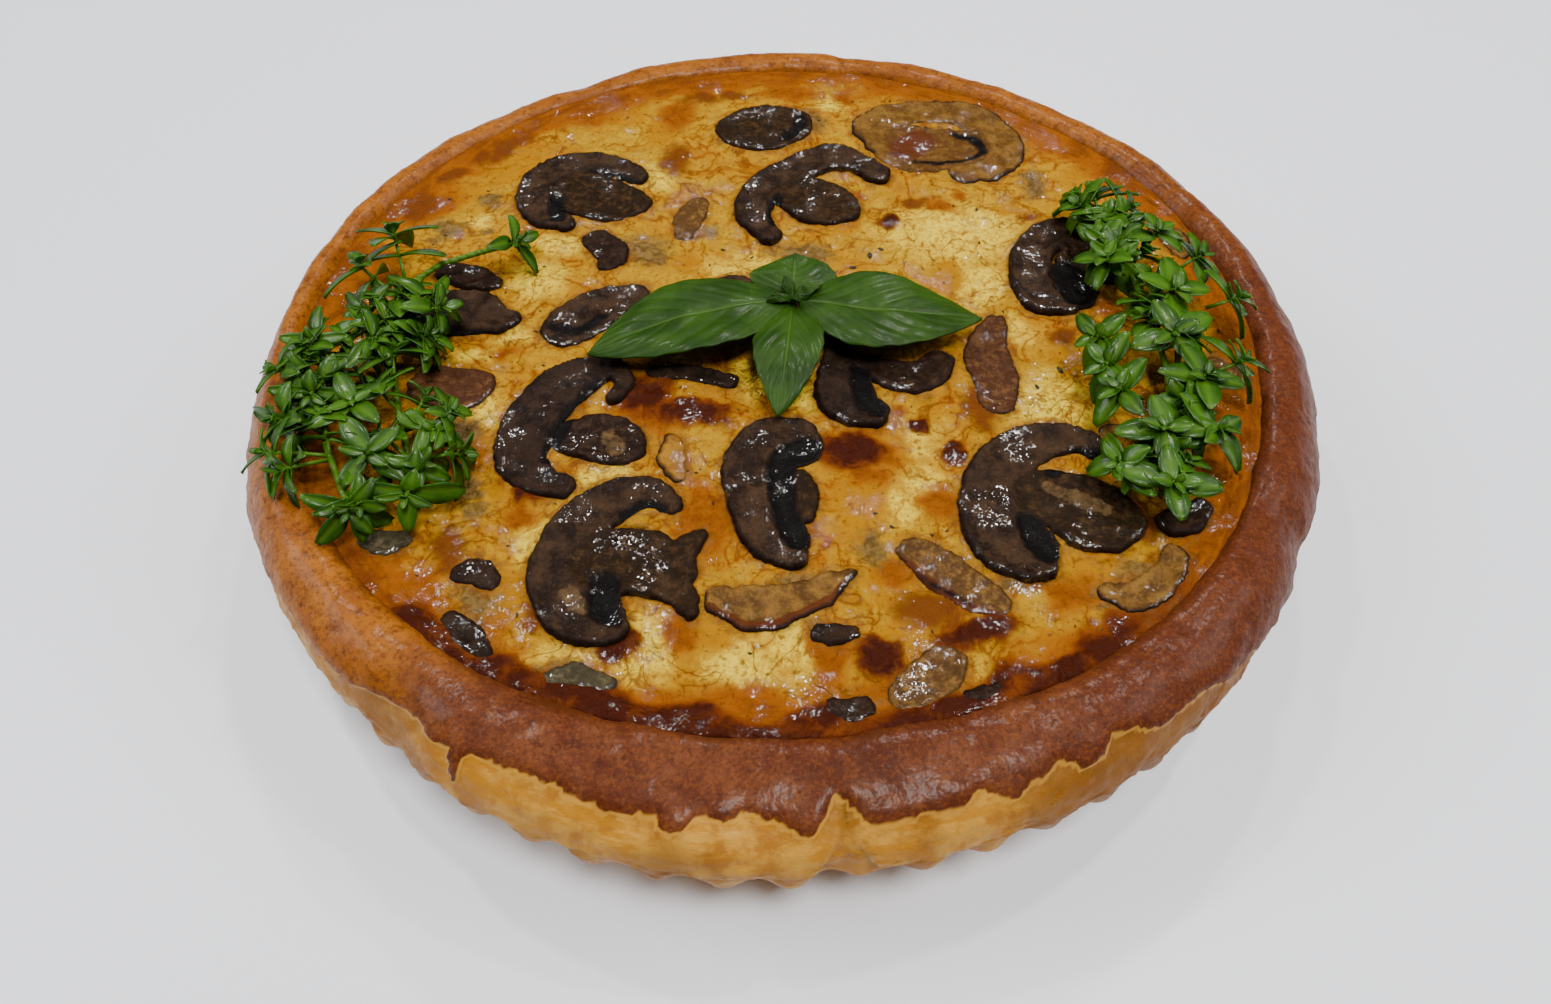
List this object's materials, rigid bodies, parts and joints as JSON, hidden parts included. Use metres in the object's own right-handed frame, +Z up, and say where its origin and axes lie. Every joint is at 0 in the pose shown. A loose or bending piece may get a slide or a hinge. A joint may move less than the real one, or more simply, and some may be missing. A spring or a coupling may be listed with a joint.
{
  "type": "mushroom quiche",
  "caption": "Round uncut mushroom quiche: fluted pastry case with a rolled browned rim, baked custard filling, roast mushroom slices and fresh basil on top.",
  "frame": {"origin": "middle of the flat base, on the surface the quiche stands on", "axes": "+Z up; -Y towards the front of the pictured view, +X to its right"},
  "size_m": [0.2497, 0.2533, 0.0519],
  "materials": {
    "baked_pastry": "egg-washed pastry, browned orange to red-brown on the rim and pale cream under the lip",
    "baked_custard": "oily baked egg custard and cheese, pale yellow with golden and red-brown blisters",
    "roast_mushroom": "roasted, wrinkled and oily, near black at the gills",
    "pale_mushroom": "tan, moist, with a dark skin line",
    "basil_leaf": "fresh, satin, with sunken veins",
    "bush_basil_leaf": "fresh, satin, small cupped leaves"
  },
  "bodies": {
    "root": {"crust": "baked_pastry", "filling": "baked_custard", "basil_sprig": "basil_leaf", "bush_basil_left": "bush_basil_leaf", "bush_basil_right": "bush_basil_leaf", "mushroom_slice_01": "roast_mushroom", "mushroom_slice_02": "roast_mushroom", "mushroom_slice_03": "roast_mushroom", "mushroom_slice_04": "pale_mushroom", "mushroom_slice_05": "roast_mushroom", "mushroom_slice_06": "roast_mushroom", "mushroom_slice_07": "roast_mushroom", "mushroom_slice_08": "roast_mushroom", "mushroom_slice_09": "pale_mushroom", "mushroom_slice_10": "roast_mushroom", "mushroom_slice_11": "roast_mushroom", "mushroom_slice_12": "roast_mushroom", "mushroom_slice_13": "roast_mushroom", "mushroom_slice_14": "pale_mushroom", "mushroom_slice_15": "roast_mushroom", "mushroom_slice_16": "roast_mushroom", "mushroom_slice_17": "roast_mushroom", "mushroom_slice_18": "pale_mushroom", "mushroom_slice_19": "roast_mushroom", "mushroom_slice_20": "pale_mushroom", "mushroom_slice_21": "pale_mushroom", "mushroom_slice_22": "pale_mushroom", "mushroom_slice_23": "pale_mushroom", "mushroom_slice_24": "roast_mushroom", "mushroom_slice_25": "pale_mushroom", "mushroom_slice_26": "pale_mushroom", "mushroom_slice_27": "pale_mushroom", "mushroom_slice_28": "pale_mushroom", "mushroom_slice_29": "pale_mushroom", "mushroom_slice_30": "pale_mushroom", "mushroom_slice_31": "pale_mushroom", "mushroom_slice_32": "pale_mushroom", "mushroom_slice_33": "pale_mushroom", "mushroom_slice_34": "pale_mushroom", "mushroom_slice_35": "pale_mushroom"}
  },
  "joints": []
}
